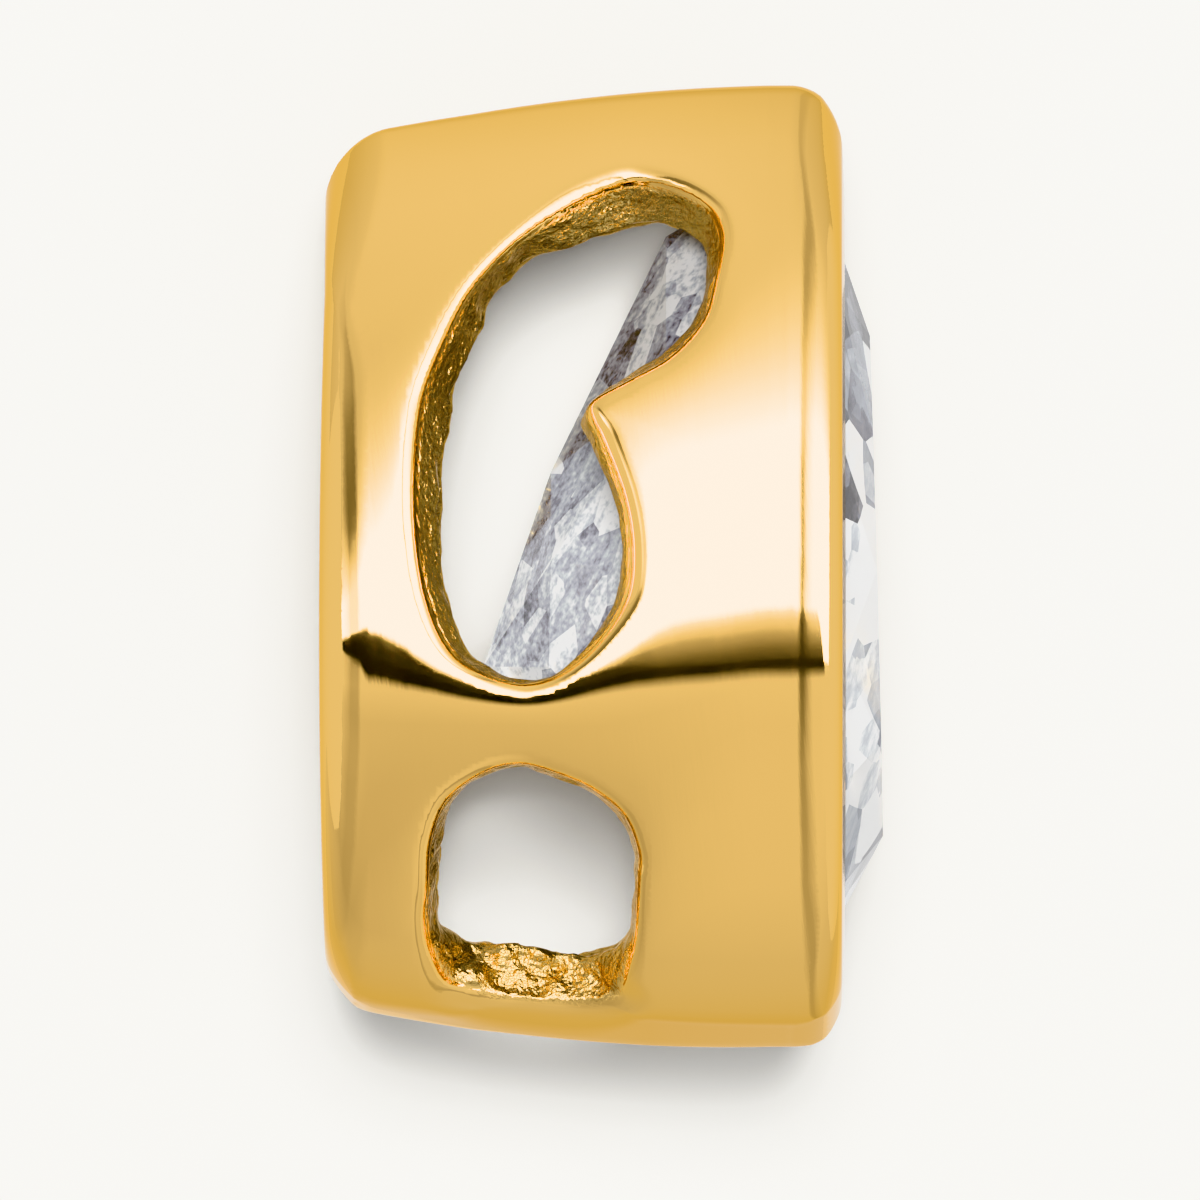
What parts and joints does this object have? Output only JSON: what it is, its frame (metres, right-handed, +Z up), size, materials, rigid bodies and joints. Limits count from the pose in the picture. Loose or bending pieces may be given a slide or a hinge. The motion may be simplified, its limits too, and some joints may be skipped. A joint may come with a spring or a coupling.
{
  "type": "slide pendant",
  "caption": "Pear-shaped cast gold slide pendant with an open back and two shaped openings through its flanks, holding a faceted pear-cut stone in a burnished bezel.",
  "frame": {"origin": "centre of the bounding box at its base, where the pendant lies on its flank", "axes": "+X towards the side with the stone's table, +Y towards the point of the pear, +Z up; the pendant has settled on its flank, so its own axes are a few degrees off these"},
  "size_m": [0.0062, 0.0094, 0.0078],
  "materials": {
    "gold": "polished 14 ct yellow gold, as cast inside and in the cuts",
    "stone": "faceted and polished colourless stone"
  },
  "bodies": {
    "root": {"bezel": "gold", "stone": "stone"}
  },
  "joints": []
}
